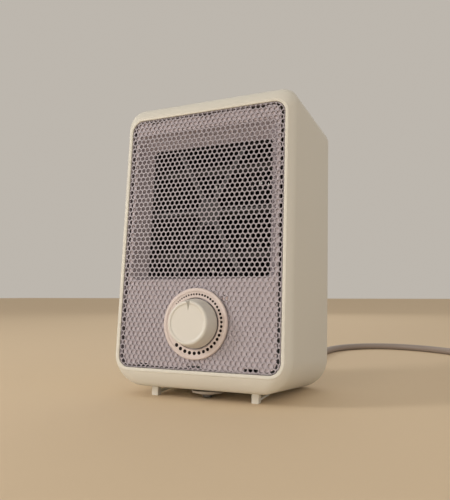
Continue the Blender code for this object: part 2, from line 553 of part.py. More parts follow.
# ---- wiring, terminal block, cord clamp --------------------------------------------------------
term = box("terminal_block", (24.0, 14.0, 10.0), 0.6)
finish(term, (0.80, 0.78, 0.72), 0.5, at=(-16, 78, BODY_Z0 + WALL + GAP + 5.0), smooth=False)
cut(term, rods("cut_terminals", [((-16 + k * 7.5, 78, BODY_Z0 + WALL + 11), 2.4, 5.0) for k in (-1, 0, 1)], 16, "Z"))
clamp = box("cord_clamp", (24.0, 7.0, 4.0), 0.8)
finish(clamp, (0.12, 0.12, 0.12), 0.5, at=(EXIT_X, 89, EXIT_Z + CORD_D / 2 + 2.4), smooth=False)
BASE_TOP = EXIT_Z - CORD_D / 2 - 0.4
clamp_base = box("clamp_base", (24.0, 7.0, BASE_TOP - (BODY_Z0 + WALL + GAP)), 0.6)
finish(clamp_base, (0.12, 0.12, 0.12), 0.5, at=(EXIT_X, 89, (BASE_TOP + BODY_Z0 + WALL + GAP) / 2), smooth=False)

finish(tube("wire_live", smooth_path([(-23.5, 78, 3.5), (-30, 70, 24), (-44, 52, 44), (-44, 38, 50), (-44.0, 28.5, 50.5)], 5), 1.1, 1), (0.35, 0.12, 0.05), 0.5, smooth=False)
finish(tube("wire_neutral", smooth_path([(-8.5, 78, 3.5), (12, 66, 20), (38, 52, 40), (44, 38, 48), (44.0, 28.5, 50.5)], 5), 1.1, 1), (0.05, 0.12, 0.40), 0.5, smooth=False)
finish(tube("wire_switch", smooth_path([(-16, 78, 3.5), (-17, 66, 8), (-15, 56, 12), (-8, 52, 15.0), (-5.2, 48, 15.5)], 5), 1.1, 1), (0.35, 0.33, 0.05), 0.5, smooth=False)

# ---- lead: strain relief, cord, coil, tie, plug -----------------------------------------------
gland = turned("strain_relief", [(0, DEPTH + 24.5), (5.1, DEPTH + 24.5), (5.5, DEPTH + 23.5), (7.0, DEPTH + 2.6), (9.0, DEPTH + 2.2), (9.2, DEPTH + 0.2),
                                 (5.9, DEPTH - 0.2), (5.9, DEPTH - 8.5), (0, DEPTH - 8.5)], 20)
finish(gland, (0.62, 0.59, 0.60), 0.6, at=(EXIT_X, 0, EXIT_Z))
cut(gland, rods("cut_gland", [((EXIT_X, 114, EXIT_Z), CORD_D / 2 + 0.25, 60)], 20))

COIL_X, COIL_Y, COIL_R = 230.0, 250.0, 43.2      # middle of the coiled spare length
COIL_W, COIL_H = 12.8, 8.1         # half width and half height of the bundle of turns
LIE = CORD_D / 2 + 0.15            # height of the lead's middle where it lies on the table
PLUG_X, PLUG_Y, PLUG_Z = COIL_X + 28.0, COIL_Y - 112.0, 10.7

# out of the back, down to the table, back from the heater and round to its right
way = [to_table(EXIT_X, y, EXIT_Z) for y in (DEPTH - 17.5, DEPTH, DEPTH + 17.5)]
way += [(14.0, 80, 24.6), (14.0, 95, 22.3), (13.8, 112, 17.2), (13.4, 130, 11.2), (13.0, 148, 6.6), (12.3, 168, LIE + 0.4)]
way += [(x, y, LIE) for x, y in ((11, 195), (9, 228), (7.2, 262), (6.4, 294), (8.6, 326), (16.5, 354), (31.5, 377),
                                 (52, 392), (77, 397.5), (105, 391), (132, 375.5), (156, 354.5), (174, 337),
                                 (191.5, 321.5), (209, 309.4))]
finish(tube("power_cord", smooth_path(way, 13), CORD_D / 2, 2), (0.62, 0.59, 0.61), 0.55, parent=None, smooth=False)

coil = turned("cord_coil", [(COIL_R + COIL_W * math.cos(a), COIL_H * math.sin(a))
                            for a in [math.radians(30 * k) for k in range(12)]][::-1], 32, axis="Z", closed=True)
finish(coil, (0.62, 0.59, 0.61), 0.55, parent=None, at=(COIL_X, COIL_Y, COIL_H + 0.15))
tail = [(PLUG_X + 0.8, COIL_Y - 57, 11.6), (PLUG_X + 0.2, COIL_Y - 66, 11.0), (PLUG_X, COIL_Y - 76, PLUG_Z), (PLUG_X, COIL_Y - 84, PLUG_Z)]
finish(tube("cord_end", smooth_path(tail, 6), CORD_D / 2, 2), (0.62, 0.59, 0.61), 0.55, parent=None, smooth=False)

plug = box("plug_body", (48.0, 44.0, 21.0), 4.0, 3)
finish(plug, (0.62, 0.59, 0.61), 0.5, parent=None, at=(PLUG_X, PLUG_Y, PLUG_Z))


def table_cut(ob, cutter, operation="DIFFERENCE"):
    """A cut whose cutter is placed in the table's frame."""
    finish(cutter, None, 0, parent=None, smooth=False, collection=tools)
    cutter.hide_render = True
    cutter.display_type = "WIRE"
    m = ob.modifiers.new(operation.lower(), "BOOLEAN")
    m.operation = operation
    m.object = cutter
    m.solver = "EXACT"


table_cut(plug, rods("add_plug_neck", [((PLUG_X, PLUG_Y + 27, PLUG_Z), 6.0, 18.0)], 24), "UNION")
table_cut(plug, rods("cut_plug_neck", [((PLUG_X, PLUG_Y + 32, PLUG_Z), CORD_D / 2 + 0.5, 14.0)], 24))
PIN_Z = PLUG_Z + 10.5 + 0.3
for tag, x, y, size in (("earth", 0, -11.1, (4.0, 8.0, 22.6)), ("live", -11.1, 11.1, (6.3, 4.0, 17.6)),
                        ("neutral", 11.1, 11.1, (6.3, 4.0, 17.6))):
    finish(box("plug_pin_" + tag, size, 0.4), (0.75, 0.66, 0.42), 0.3, 1.0, parent=None,
           at=(PLUG_X + x, PLUG_Y + y, PIN_Z + size[2] / 2), smooth=False)
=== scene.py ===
import math

import bmesh
import bpy
from mathutils import Matrix, Vector
from mathutils.geometry import delaunay_2d_cdt
from mathutils.kdtree import KDTree


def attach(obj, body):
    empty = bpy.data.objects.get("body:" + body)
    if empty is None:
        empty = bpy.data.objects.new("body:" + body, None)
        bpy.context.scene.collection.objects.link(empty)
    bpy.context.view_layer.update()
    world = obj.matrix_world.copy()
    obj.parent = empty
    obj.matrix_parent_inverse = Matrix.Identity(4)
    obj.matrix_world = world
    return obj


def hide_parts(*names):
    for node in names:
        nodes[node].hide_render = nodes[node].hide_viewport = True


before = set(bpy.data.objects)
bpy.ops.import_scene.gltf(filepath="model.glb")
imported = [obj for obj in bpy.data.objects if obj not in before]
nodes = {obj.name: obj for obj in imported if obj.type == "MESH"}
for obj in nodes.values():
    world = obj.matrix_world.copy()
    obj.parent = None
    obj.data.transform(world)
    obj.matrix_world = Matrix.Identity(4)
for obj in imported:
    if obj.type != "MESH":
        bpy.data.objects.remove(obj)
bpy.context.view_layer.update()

# Compact ceramic space heater. Sizes are millimetres in the housing's own frame, as in
# the CAD source: X right, Y into the housing from the plane of the front rim, Z up along
# the front. The housing leans back on its front feet, which HOUSING carries.
MM = 0.001
LEAN = math.radians(5.0)
CL, SL = math.cos(LEAN), math.sin(LEAN)
PAD_Y, PAD_Z = 92.0, -14.7
LIFT, SHIFT_Y = -PAD_Z * CL + PAD_Y * SL, -54.3
HOUSING = Matrix.Translation((0, SHIFT_Y * MM, LIFT * MM)) @ Matrix.Rotation(-LEAN, 4, "X")
TABLE = Matrix.Identity(4)

OPEN_HX, OPEN_Z0, OPEN_Z1, OPEN_R = 65.35, -0.15, 196.55, 9.0
RIM_W = 2.9
BODY_HX, BODY_Z0, BODY_Z1, BODY_RT, BODY_RB = 72.5, -13.9, 208.9, 12.5, 24.5
FLARE, DEPTH, WALL = 9.0, 102.7, 2.5
DIAL_Z = 33.7
RING_R, RING_IN = 26.0, 18.7
KNOB_R, KNOB_FACE_R, KNOB_OUT = 17.9, 15.4, 13.5
AXIS_Z = 120.5
PLUNGER_Y = 24.0
CORD_D, EXIT_X, EXIT_Z = 8.0, 14.0, 14.0
LIE = CORD_D / 2 + 0.15


def to_table(x, y, z):
    """A point of the housing's frame, in the table's frame, both in mm."""
    return (x, y * CL + z * SL + SHIFT_Y, -y * SL + z * CL + LIFT)


# ---- camera ---------------------------------------------------------------------------
SENSOR, LENS = 36.0, 39.6648         # mm
CAMERA_AT = (0.186886, -0.409988, 0.077492)
CAMERA_RIGHT, CAMERA_UP = (0.909963, 0.414687, -0.001406), (0.034441, -0.072195, 0.996796)
cam_data = bpy.data.cameras.new("camera")
cam_data.sensor_width, cam_data.lens = SENSOR, LENS
cam_data.clip_start, cam_data.clip_end = 0.02, 60.0
camera = bpy.data.objects.new("camera", cam_data)
bpy.context.scene.collection.objects.link(camera)
right, up = Vector(CAMERA_RIGHT).normalized(), Vector(CAMERA_UP)
back = right.cross(up).normalized()
up = back.cross(right).normalized()
camera.matrix_world = Matrix.Translation(CAMERA_AT) @ Matrix((right, up, back)).transposed().to_4x4()
bpy.context.scene.camera = camera


# ---- materials ------------------------------------------------------------------------
def tone(color, k):
    return (*(min(1.0, c * k) for c in color), 1)


def surface(name, color, rough, metal=0.0, grain=0.5, relief=0.012, mottle=0.04, stretch=(1, 1, 1),
            pattern="noise", spread=0.06, coat=0.0, subsurface=0.0, specular=0.5):
    """A finish with its own grain. grain and relief are mm, mottle is a share of the colour.

    pattern noise is moulded, cast or painted; wave is bands along X; cells is grit."""
    m = bpy.data.materials.new(name)
    m.use_nodes = True
    nt, new, link = m.node_tree, m.node_tree.nodes.new, m.node_tree.links.new
    b = nt.nodes["Principled BSDF"]
    b.inputs["Metallic"].default_value = metal
    b.inputs["Coat Weight"].default_value = coat
    b.inputs["Specular IOR Level"].default_value = specular
    if subsurface:
        b.inputs["Subsurface Weight"].default_value = subsurface
        b.inputs["Subsurface Radius"].default_value = (0.004, 0.003, 0.002)
    place, mapping = new("ShaderNodeTexCoord"), new("ShaderNodeMapping")
    mapping.inputs["Scale"].default_value = stretch
    link(place.outputs["Object"], mapping.inputs["Vector"])
    if pattern == "wave":
        fine = new("ShaderNodeTexWave")
        fine.inputs["Scale"].default_value = 1000.0 / grain / 6.28
        fine.inputs["Distortion"].default_value = 0.4
        height = fine.outputs["Fac"]
    elif pattern == "cells":
        fine = new("ShaderNodeTexVoronoi")
        fine.inputs["Scale"].default_value = 1000.0 / grain
        height = fine.outputs["Distance"]
    else:
        fine = new("ShaderNodeTexNoise")
        fine.inputs["Scale"].default_value = 1000.0 / grain
        fine.inputs["Detail"].default_value = 2.5
        fine.inputs["Roughness"].default_value = 0.6
        height = fine.outputs["Fac"]
    link(mapping.outputs["Vector"], fine.inputs["Vector"])
    cloud = new("ShaderNodeTexNoise")
    cloud.inputs["Scale"].default_value = 38.0
    cloud.inputs["Detail"].default_value = 4.0
    link(place.outputs["Object"], cloud.inputs["Vector"])
    both = new("ShaderNodeMath")
    both.operation = "MULTIPLY_ADD"
    both.inputs[1].default_value = 0.45
    link(height, both.inputs[0])
    half = new("ShaderNodeMath")
    half.operation = "MULTIPLY"
    half.inputs[1].default_value = 0.55
    link(cloud.outputs["Fac"], half.inputs[0])
    link(half.outputs[0], both.inputs[2])
    mix = new("ShaderNodeMix")
    mix.data_type = "RGBA"
    mix.inputs["A"].default_value = tone(color, 1 - mottle)
    mix.inputs["B"].default_value = tone(color, 1 + mottle)
    link(both.outputs[0], mix.inputs["Factor"])
    link(mix.outputs["Result"], b.inputs["Base Color"])
    gloss = new("ShaderNodeMapRange")
    gloss.inputs["To Min"].default_value = max(0.02, rough - spread)
    gloss.inputs["To Max"].default_value = min(1.0, rough + spread)
    link(both.outputs[0], gloss.inputs["Value"])
    link(gloss.outputs["Result"], b.inputs["Roughness"])
    bump = new("ShaderNodeBump")
    bump.inputs["Strength"].default_value = 1.0
    bump.inputs["Distance"].default_value = relief * MM
    link(height, bump.inputs["Height"])
    link(bump.outputs["Normal"], b.inputs["Normal"])
    return m


CREAM = (0.665, 0.645, 0.580)
LILAC = (0.355, 0.322, 0.360)
cream = surface("cream_moulded", CREAM, 0.50, grain=1.1, relief=0.006, mottle=0.02)
knob_cream = surface("knob_moulded", (0.665, 0.645, 0.595), 0.42, grain=0.6, relief=0.006, mottle=0.02)
ring_cream = surface("ring_moulded", (0.64, 0.555, 0.53), 0.44, grain=0.6, relief=0.008, mottle=0.025)
ink = surface("dial_ink", (0.012, 0.007, 0.006), 0.7, grain=0.4, relief=0.01, mottle=0.25, specular=0.08)
lilac_paint = surface("lilac_enamel", LILAC, 0.40, grain=0.9, relief=0.02, mottle=0.03, coat=0.15)
# The inner panel has the sheet's lilac painted lighter: painted light that makes up for the shade the sheet
# casts on the panel.
lilac_painted_lighter = surface("lilac_moulded_painted_lighter", (0.53, 0.475, 0.52), 0.6, grain=0.8, relief=0.02, mottle=0.04)
dark = surface("dark_moulded", (0.014, 0.014, 0.015), 0.6, grain=0.5, relief=0.02, mottle=0.2, specular=0.3)
guard_grey = surface("guard_enamel", (0.055, 0.052, 0.055), 0.5, grain=0.7, relief=0.02, mottle=0.08)
# The heating core is painted near-black: painted shade for the dark inside of the window, though its fins are
# aluminium foil.
core_painted_shade = surface("core_foil_painted_shade", (0.012, 0.012, 0.013), 0.7, grain=0.6, relief=0.02, mottle=0.2,
                     stretch=(1, 1, 8), specular=0.25)
ceramic = surface("ceramic_grit", (0.035, 0.033, 0.031), 0.8, grain=0.35, relief=0.03, mottle=0.2,
                  pattern="cells")
tin = surface("tin_plate", (0.50, 0.50, 0.51), 0.40, metal=1.0, grain=0.3, relief=0.006, mottle=0.06,
              stretch=(1, 12, 1), spread=0.1)
brass = surface("drawn_brass", (0.70, 0.52, 0.24), 0.30, metal=1.0, grain=0.3, relief=0.005, mottle=0.07,
                stretch=(10, 10, 1), spread=0.1)
steel_stack = surface("lamination_stack", (0.26, 0.26, 0.28), 0.42, metal=0.9, grain=1.0, relief=0.08,
                      mottle=0.25, stretch=(0.0001, 1, 0.0001))
copper = surface("copper_turns", (0.50, 0.20, 0.07), 0.32, metal=0.7, grain=0.5, relief=0.1, mottle=0.2,
                 pattern="wave", coat=0.5)
phenolic = surface("phenolic", (0.16, 0.10, 0.06), 0.5, grain=0.6, relief=0.02, mottle=0.2)
cutout = surface("cutout_case", (0.05, 0.05, 0.055), 0.4, grain=0.5, relief=0.01, mottle=0.15)
lens = surface("lamp_lens", (0.62, 0.50, 0.50), 0.3, grain=2.0, relief=0.01, mottle=0.06, subsurface=0.2,
               coat=0.3)
grey_plastic = surface("plunger_moulded", (0.40, 0.36, 0.315), 0.5, grain=0.6, relief=0.012, mottle=0.04)
# Near-black rubber: the rear pads' own colour, and painted shade on the plunger's foot.
rubber_and_painted_shade = surface("pad_rubber", (0.115, 0.105, 0.095), 0.85, grain=0.5, relief=0.04, mottle=0.15)
block = surface("block_moulded", (0.62, 0.60, 0.55), 0.5, grain=0.6, relief=0.015, mottle=0.05)
brown = surface("brown_insulation", (0.20, 0.075, 0.03), 0.42, grain=0.5, relief=0.01, mottle=0.1)
blue = surface("blue_insulation", (0.03, 0.09, 0.32), 0.42, grain=0.5, relief=0.01, mottle=0.1)
white = surface("white_insulation", (0.70, 0.68, 0.64), 0.45, grain=0.5, relief=0.01, mottle=0.06)
sheath = surface("lead_sheath", (0.32, 0.265, 0.235), 0.50, grain=0.6, relief=0.02, mottle=0.05)
relief_rubber = surface("relief_moulded", (0.32, 0.275, 0.25), 0.58, grain=0.5, relief=0.02, mottle=0.06)
plug_plastic = surface("plug_moulded", (0.33, 0.285, 0.26), 0.48, grain=0.6, relief=0.02, mottle=0.05)
tie_plastic = surface("tie_wire", (0.05, 0.05, 0.055), 0.5, grain=0.5, relief=0.02, mottle=0.15)
sleeve_black = surface("pin_insulation", (0.03, 0.03, 0.032), 0.4, grain=0.5, relief=0.01, mottle=0.15)


# ---- mesh helpers ---------------------------------------------------------------------
def add(name, ob_or_bm, mat, body="housing", replaces=(), place=HOUSING, sharp=35.0):
    """Put a piece in the scene, with its finish, on its body."""
    if isinstance(ob_or_bm, bmesh.types.BMesh):
        me = bpy.data.meshes.new(name)
        ob_or_bm.to_mesh(me)
        ob_or_bm.free()
        ob = bpy.data.objects.new(name, me)
    else:
        ob = ob_or_bm
        ob.name = ob.data.name = name
    if not ob.users_collection:
        bpy.context.scene.collection.objects.link(ob)
    if ob.type == "MESH":
        ob.data.shade_smooth()
        ob.data.set_sharp_from_angle(angle=math.radians(sharp))
    ob.data.materials.clear()
    ob.data.materials.append(mat)
    ob.matrix_world = place
    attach(ob, body)
    if replaces:
        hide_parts(*replaces)
    return ob


def rrect(hx, z0, z1, rt, rb, n=16):
    """Rounded rectangle in X and Z, counter-clockwise from the lower right corner."""
    out = []
    for cx, cz, r, a0 in ((hx - rb, z0 + rb, rb, -90), (hx - rt, z1 - rt, rt, 0),
                          (-hx + rt, z1 - rt, rt, 90), (-hx + rb, z0 + rb, rb, 180)):
        for k in range(n + 1):
            a = math.radians(a0 + 90 * k / n)
            out.append((cx + r * math.cos(a), cz + r * math.sin(a)))
    return out


def skin(sections, ring, axis="Y"):
    """A skin through sections, each (depth, outline), in mm."""
    def at(d, p):
        return (p[0] * MM, d * MM, p[1] * MM) if axis == "Y" else (p[0] * MM, p[1] * MM, d * MM)

    bm = bmesh.new()
    loops = [[bm.verts.new(at(d, p)) for p in pts] for d, pts in sections]
    for a, b in list(zip(loops, loops[1:])) + ([(loops[-1], loops[0])] if ring else []):
        m = len(a)
        for i in range(m):
            bm.faces.new((a[i], a[(i + 1) % m], b[(i + 1) % m], b[i]))
    if not ring:
        bm.faces.new(loops[0])
        bm.faces.new(list(reversed(loops[-1])))
    bmesh.ops.recalc_face_normals(bm, faces=bm.faces)
    return bm


def lathe(profile, steps, centre=(0, 0, 0), axis="Y", closed=False):
    """A profile of (radius, depth) points turned about an axis through centre, in mm."""
    bm = bmesh.new()
    put = {"Y": lambda r, d, c, s: (r * c, d, r * s), "Z": lambda r, d, c, s: (r * c, r * s, d),
           "X": lambda r, d, c, s: (d, r * c, r * s)}[axis]
    rows = []
    for r, d in profile:
        angles = range(1 if r < 1e-6 else steps)
        turned = [put(r, d, math.cos(2 * math.pi * k / steps), math.sin(2 * math.pi * k / steps))
                  for k in angles]
        rows.append([bm.verts.new((Vector(v) + Vector(centre)) * MM) for v in turned])
    for a, b in list(zip(rows, rows[1:])) + ([(rows[-1], rows[0])] if closed else []):
        for k in range(steps):
            q = [a[k % len(a)], a[(k + 1) % len(a)], b[(k + 1) % len(b)], b[k % len(b)]]
            q = [v for i, v in enumerate(q) if v not in q[:i]]
            if len(q) > 2:
                bm.faces.new(q)
    bmesh.ops.recalc_face_normals(bm, faces=bm.faces)
    return bm


def arc(cx, cy, r, a0, a1, n):
    """Points (x, y) on an arc, degrees."""
    return [(cx + r * math.cos(math.radians(a0 + (a1 - a0) * k / n)),
             cy + r * math.sin(math.radians(a0 + (a1 - a0) * k / n))) for k in range(n + 1)]


def block_of(size, centre, turn=None):
    """A box as a bmesh, in mm."""
    bm = bmesh.new()
    v = bmesh.ops.create_cube(bm, size=1.0)["verts"]
    bmesh.ops.scale(bm, vec=Vector(size) * MM, verts=v)
    if turn:
        bmesh.ops.rotate(bm, cent=(0, 0, 0), matrix=turn, verts=v)
    bmesh.ops.translate(bm, vec=Vector(centre) * MM, verts=v)
    return bm


def carve(ob, bm, operation="DIFFERENCE"):
    """Apply a Boolean with a bmesh that is in ob's own frame."""
    me = bpy.data.meshes.new("cutter")
    bm.to_mesh(me)
    bm.free()
    cutter = bpy.data.objects.new("cutter", me)
    bpy.context.scene.collection.objects.link(cutter)
    cutter.matrix_world = ob.matrix_world
    mod = ob.modifiers.new("carve", "BOOLEAN")
    mod.operation, mod.solver, mod.object = operation, "EXACT", cutter
    bpy.context.view_layer.update()
    done = bpy.data.meshes.new_from_object(ob.evaluated_get(bpy.context.evaluated_depsgraph_get()))
    ob.modifiers.clear()
    done.name = ob.data.name
    ob.data = done
    bpy.data.objects.remove(cutter)
    return ob


def rod(radius, length, centre, axis="Y", steps=32):
    h = length / 2
    return lathe([(0, -h), (radius, -h), (radius, h), (0, h)], steps, centre, axis)


def smooth_path(points, step):
    """Points spaced along a Catmull-Rom curve through points, in mm."""
    p = [Vector(q) for q in points]
    p = [2 * p[0] - p[1]] + p + [2 * p[-1] - p[-2]]
    out = []
    for i in range(1, len(p) - 2):
        a, b, c, d = p[i - 1:i + 3]
        n = max(2, round((c - b).length / step))
        for k in range(n):
            t = k / n
            out.append(0.5 * ((2 * b) + (c - a) * t + (2 * a - 5 * b + 4 * c - d) * t * t
                              + (3 * b - a - 3 * c + d) * t ** 3))
    return out + [p[-2]]


def wire(name, points, radius, resolution=5):
    """A round wire along points, in mm, with closed ends."""
    cu = bpy.data.curves.new(name, "CURVE")
    cu.dimensions = "3D"
    cu.bevel_depth, cu.bevel_resolution, cu.use_fill_caps = radius * MM, resolution, True
    sp = cu.splines.new("POLY")
    sp.points.add(len(points) - 1)
    for q, v in zip(sp.points, points):
        q.co = (v[0] * MM, v[1] * MM, v[2] * MM, 1)
    return bpy.data.objects.new(name, cu)


# ---- lead: route on the table, coil and plug --------------------------------------------
COIL_X, COIL_Y = 230.0, 250.0
R_OUT, R_IN = 51.9, 34.5
TURNS = (2.1, 0.30, 1.85)            # lower layer inwards, rise, upper layer outwards
UPPER = LIE + 8.15
PLUG = (COIL_X + 28.0, COIL_Y - 112.0, 10.7)

way = [to_table(EXIT_X, y, EXIT_Z) for y in (DEPTH - 17.5, DEPTH, DEPTH + 17.5)]
way += [(14.0, 80, 24.6), (14.0, 95, 22.3), (13.8, 112, 17.2), (13.4, 130, 11.2), (13.0, 148, 6.6),
        (12.3, 168, LIE + 0.4)]
way += [(x, y, LIE) for x, y in ((11, 195), (9, 228), (7.2, 262), (6.4, 294), (8.6, 326), (16.5, 354),
                                 (31.5, 377),
                                 (52, 392), (77, 397.5), (105, 391), (132, 375.5), (156, 354.5), (174, 337),
                                 (191.5, 321.5), (209, 309.4))]


def coil_points(step=11.0):
    """The turns, clockwise from above, from the far side round to the plug's side."""
    total = sum(TURNS)
    out = []
    done = 0.0
    while done <= total:
        if done < TURNS[0]:
            r, z = R_OUT + (R_IN - R_OUT) * done / TURNS[0], LIE
        elif done < TURNS[0] + TURNS[1]:
            t = (done - TURNS[0]) / TURNS[1]
            r, z = R_IN, LIE + (UPPER - LIE) * t * t * (3 - 2 * t)
        else:
            t = (done - TURNS[0] - TURNS[1]) / TURNS[2]
            r, z = R_IN + (R_OUT - R_IN) * t, UPPER
        a = math.pi / 2 - 2 * math.pi * done
        out.append((COIL_X + r * math.cos(a), COIL_Y + r * math.sin(a), z))
        done += step / (2 * math.pi * r)
    return out


turns = coil_points()
tail = [(COIL_X + 45.5, 224.5, UPPER), (270.6, 211.5, UPPER - 0.1), (264.4, 199, 12.0), (259.6, 187, 11.3),
        (258, 174, 10.7), (258, 166, 10.7)]
route = smooth_path(way, 13)
skip = round((Vector(way[-1]) - Vector(way[-2])).length / 11)
route = route[:-1] + smooth_path([way[-2], way[-1], turns[0], turns[1]], 11)[skip:-1]
route += [Vector(p) for p in turns[1:]]
route = [p for i, p in enumerate(route) if i == 0 or (p - route[i - 1]).length > 1.5]
route += smooth_path([turns[-2], turns[-1], *tail], 9)[3:]

lead = add("mains_lead", wire("mains_lead", route, CORD_D / 2, 5), sheath,
           replaces=("power_cord", "cord_coil", "cord_end"), place=TABLE)

# strain relief: collar, then a taper with rings moulded into it
profile = [(4.25, DEPTH - 8.5), (5.9, DEPTH - 8.5), (5.9, DEPTH - 0.2), (9.0, DEPTH - 0.2)]
profile += arc(8.4, DEPTH + 1.6, 0.8, 0, 90, 4)
profile += [(7.4, DEPTH + 2.6)]
y, r = DEPTH + 4.0, 7.2
while y < DEPTH + 21.5:
    profile += [(r, y), (r + 0.05, y + 0.5), (r, y + 1.9), (r - 0.15, y + 2.2), (r - 1.1, y + 2.5),
                (r - 1.15, y + 3.1)]
    y += 3.5
    r -= 0.27
profile += [(r, y - 0.3), (r - 0.05, DEPTH + 23.9), (r - 0.5, DEPTH + 24.5), (4.25, DEPTH + 24.5)]
gland = add("strain_relief_ringed", lathe(profile, 56, (EXIT_X, 0, EXIT_Z), closed=True), relief_rubber,
            replaces=("strain_relief",))


def plug_outline(d, n=10):
    """The plug in plan: square at the pin end, narrowing to the lead."""
    out = []
    hx, y0, y1 = 24.0 - d, -22.0 + d, 22.0 - d
    r0, r1 = 6.0 - 0.5 * d, 13.0 - 0.5 * d
    for cx, cy, rr, a0 in ((hx - r0, y0 + r0, r0, -90), (hx - r1, y1 - r1, r1, 0),
                           (-hx + r1, y1 - r1, r1, 90), (-hx + r0, y0 + r0, r0, 180)):
        for k in range(n + 1):
            a = math.radians(a0 + 90 * k / n)
            out.append((PLUG[0] + cx + rr * math.cos(a), PLUG[1] + cy + rr * math.sin(a)))
    return out


plug_insets = ((0.25, 5.0), (0.55, 3.2), (1.5, 1.6), (3.0, 0.7), (5.5, 0.15), (9.0, 0.0), (18.6, 0.0),
               (19.2, 0.2),
               (19.5, 0.7), (19.6, 1.4), (20.6, 1.7), (21.1, 2.2), (21.2, 3.0))       # height, inset
plug = add("plug_moulding", skin([(h, plug_outline(d)) for h, d in plug_insets], ring=False, axis="Z"),
           plug_plastic, replaces=("plug_body",), place=TABLE)
for side in (-1, 1):
    for k in range(4):
        carve(plug, rod(1.3, 9.0, (PLUG[0] + side * 24.6, PLUG[1] - 14 + 5.2 * k, 11.5), "Z", 20))
neck = [(4.25, 21.0), (7.6, 21.0), (7.6, 23.2)]
for k in range(4):
    neck += [(r - 0.35 * k, h + 3.1 * k) for r, h in ((7.3, 23.6), (7.3, 25.2), (6.2, 25.6), (6.2, 26.4))]
neck += [(5.7, 36.0), (4.25, 36.0)]
plug_neck = add("plug_neck", lathe(neck, 40, PLUG, closed=True), plug_plastic,
                place=TABLE)
for tag, x in (("live", -11.1), ("neutral", 11.1)):
    sleeve_of_pin = block_of((6.9, 4.6, 9.0), (PLUG[0] + x, PLUG[1] + 11.1, PLUG[2] + 10.6 + 4.4))
    ob = add("pin_sleeve_" + tag, sleeve_of_pin, sleeve_black, place=TABLE)
    bev = ob.modifiers.new("edges", "BEVEL")
    bev.width, bev.segments = 0.6 * MM, 3
door = add("plug_fuse_door", block_of((7.6, 24.0, 1.2), (PLUG[0], PLUG[1] + 5.0, PLUG[2] + 10.6)),
           plug_plastic, place=TABLE)
bev = door.modifiers.new("edges", "BEVEL")
bev.width, bev.segments = 0.45 * MM, 3

# a twist tie holds the turns together
band = []
for cx, cz, a0 in ((-32.6, 13.6, 0), (-53.6, 13.6, 90), (-53.6, 2.9, 180), (-32.6, 2.9, 270)):
    band += [(COIL_X + x, COIL_Y, z) for x, z in arc(cx, cz, 3.3, a0, a0 + 90, 6)]
bm = bmesh.new()
loops = []
for off, wide in ((0.0, 2.6), (0.55, 2.6), (0.55, -2.6), (0.0, -2.6)):
    mid = Vector((COIL_X - 43.1, COIL_Y, 8.25))
    loop = []
    for x, yy, z in band:
        d = Vector((x, 0, z)) - Vector((mid.x, 0, mid.z))
        p = Vector((x, yy + wide, z)) + d.normalized() * off
        p.z = max(p.z, 0.03 if off else 0.13)
        loop.append(bm.verts.new(p * MM))
    loops.append(loop)
for a, b in zip(loops, loops[1:] + loops[:1]):
    for i in range(len(a)):
        bm.faces.new((a[i], a[(i + 1) % len(a)], b[(i + 1) % len(b)], b[i]))
bmesh.ops.recalc_face_normals(bm, faces=bm.faces)
tie = add("lead_tie", bm, tie_plastic, place=TABLE)
twist = [(COIL_X - 43 + 0.9 * math.cos(k * 0.9), COIL_Y + 0.6 * k, 17.9 + 0.7 * math.sin(k * 0.9))
         for k in range(15)]
add("lead_tie_ends", wire("lead_tie_ends", twist, 0.7, 3), tie_plastic, place=TABLE)

# ---- housing sleeve -------------------------------------------------------------------
rim_hx, rim_z0, rim_z1, rim_r = OPEN_HX + RIM_W, OPEN_Z0 - RIM_W, OPEN_Z1 + RIM_W, OPEN_R + RIM_W


def flare(t):
    """Outline of the sleeve at share t of the flare, from the rim out to the housing."""
    e = math.sin(t * math.pi / 2) ** 0.8
    ends = ((rim_hx, BODY_HX), (rim_z0, BODY_Z0), (rim_z1, BODY_Z1), (rim_r, BODY_RT), (rim_r, BODY_RB))
    return rrect(*(a + (b - a) * e for a, b in ends))


def inset(d, rt=None, rb=None):
    return rrect(BODY_HX - d, BODY_Z0 + d, BODY_Z1 - d, rt if rt is not None else max(BODY_RT - d, 2),
                 rb if rb is not None else max(BODY_RB - d, 2))


def opening(d):
    return rrect(OPEN_HX + d, OPEN_Z0 - d, OPEN_Z1 + d, OPEN_R + d, OPEN_R + d)


shares = [(k / 14) ** 1.5 for k in range(15)]
sections = [(0.5 + FLARE * t, flare(t)) for t in shares]
sections += [(DEPTH - 5.5 + 5.5 * math.sin(math.radians(q)), inset(4.6 - 4.6 * math.cos(math.radians(q))))
             for q in range(0, 91, 10)]
sections += [(DEPTH, inset(9.1)), (DEPTH - 0.18, inset(9.5)), (DEPTH - 0.6, inset(9.7)),
             (DEPTH - 3.1, inset(9.7)),
             (DEPTH - 3.1, inset(13.5, 14, 22)), (DEPTH - 5.5, inset(13.5, 14, 22)),
             (DEPTH - 5.5, inset(WALL)),
             (12.0, inset(WALL)), (5.6, opening(1.4)), (5.2, opening(0)), (0.7, opening(0)),
             (0.3, opening(0.09)), (0.08, opening(0.3)), (0.0, opening(0.6)), (0.0, opening(RIM_W - 0.75)),
             (0.06, opening(RIM_W - 0.4)), (0.22, opening(RIM_W - 0.12))]
sleeve = add("sleeve", skin(sections, ring=True), cream, replaces=("housing_sleeve",),
             sharp=38)
carve(sleeve, rod(4.3, 8.0, (0, PLUNGER_Y, BODY_Z0 + 1), "Z", 48))

